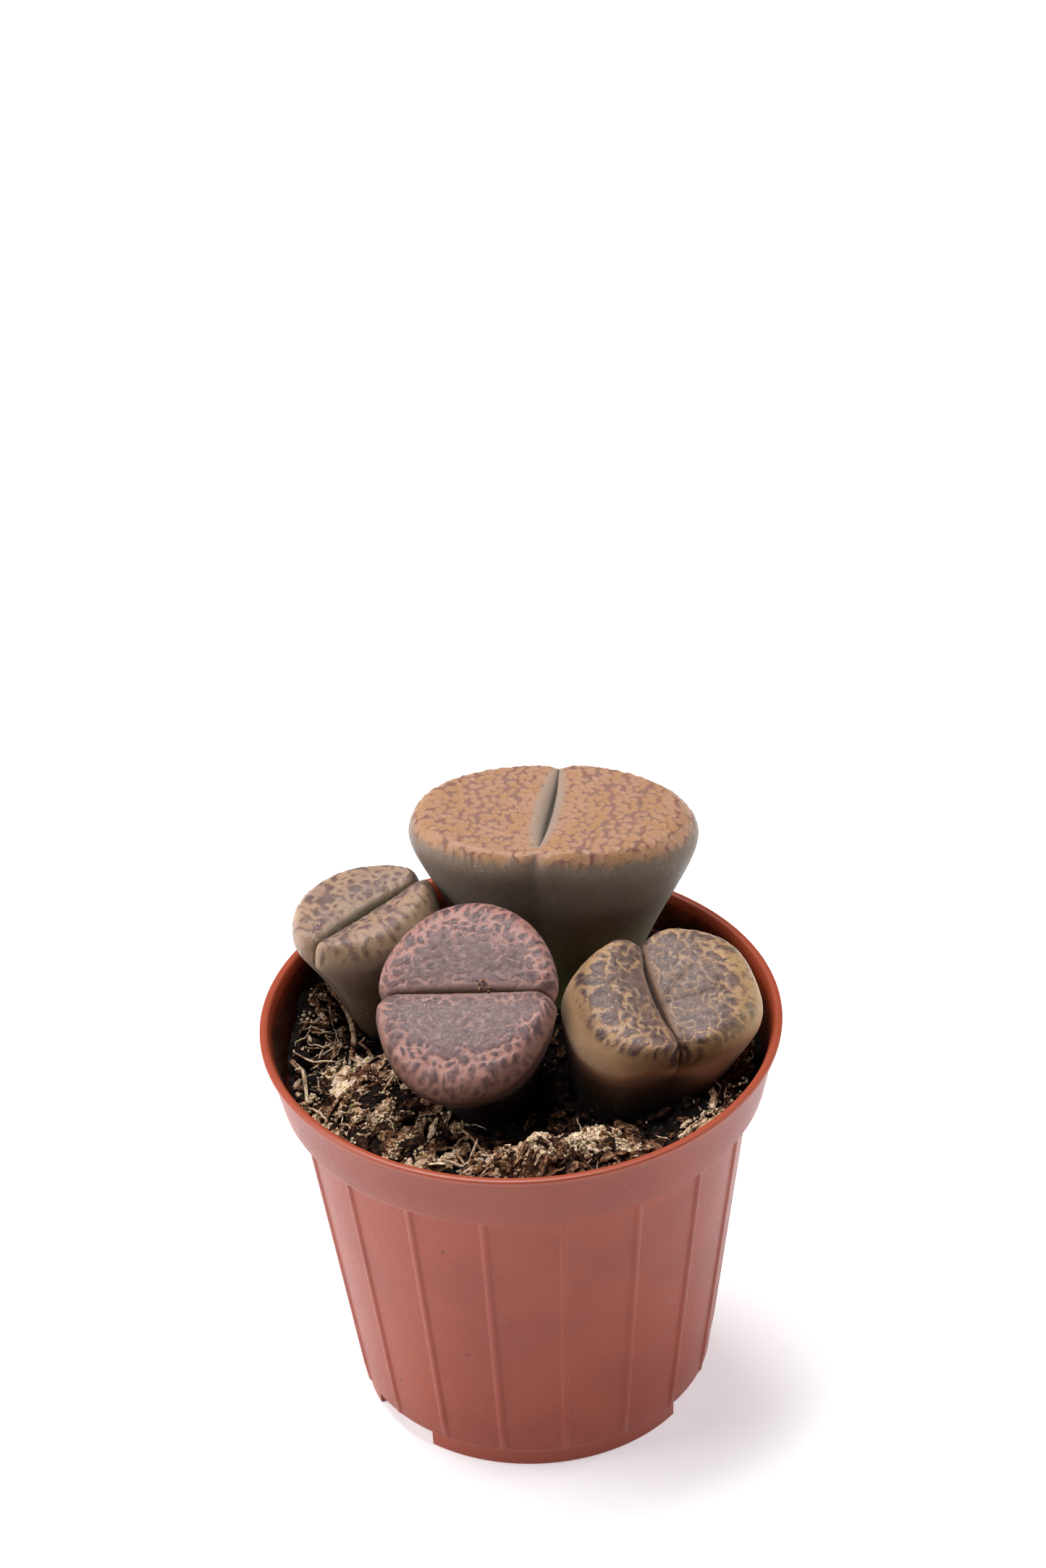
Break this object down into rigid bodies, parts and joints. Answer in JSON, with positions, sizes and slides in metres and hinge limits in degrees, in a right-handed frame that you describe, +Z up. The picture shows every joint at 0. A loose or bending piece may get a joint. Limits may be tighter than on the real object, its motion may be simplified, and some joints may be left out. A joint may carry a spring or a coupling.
{
  "type": "potted living stones",
  "caption": "Living-stone succulents with split, flat-topped leaf pairs, standing in gritty soil in a small ribbed plastic nursery pot with a collar and a rolled lip.",
  "frame": {"origin": "middle of the pot's foot ring, on the surface it stands on", "axes": "+Z up, out of the pot; +X to the right and -Y towards the viewer, with the tallest plant at the back (+Y)"},
  "size_m": [0.055, 0.055, 0.0611],
  "materials": {
    "pot_plastic": "satin moulded terracotta-coloured plastic, finely grained below the collar, brighter on the rolled lip",
    "soil": "rough dark peat with bark and coir chips and mineral grains",
    "soil_crust": "rough pale cake of mineral grit and fibre",
    "leaf_orange": "smooth waxy skin, orange-tan face with a net of brown-red lines, grey-green sides",
    "leaf_olive": "smooth waxy skin, olive-tan face with dull mauve-brown markings",
    "leaf_mauve": "smooth waxy skin, mauve face with grey windows and pink streaks at the edge",
    "leaf_tan": "smooth waxy skin, yellow-tan with grey-violet islands and windows"
  },
  "bodies": {
    "root": {"pot": "pot_plastic", "soil": "soil", "soil_crust": "soil_crust", "plant_back": "leaf_orange", "plant_left": "leaf_olive", "plant_front": "leaf_mauve", "plant_right": "leaf_tan"}
  },
  "joints": []
}
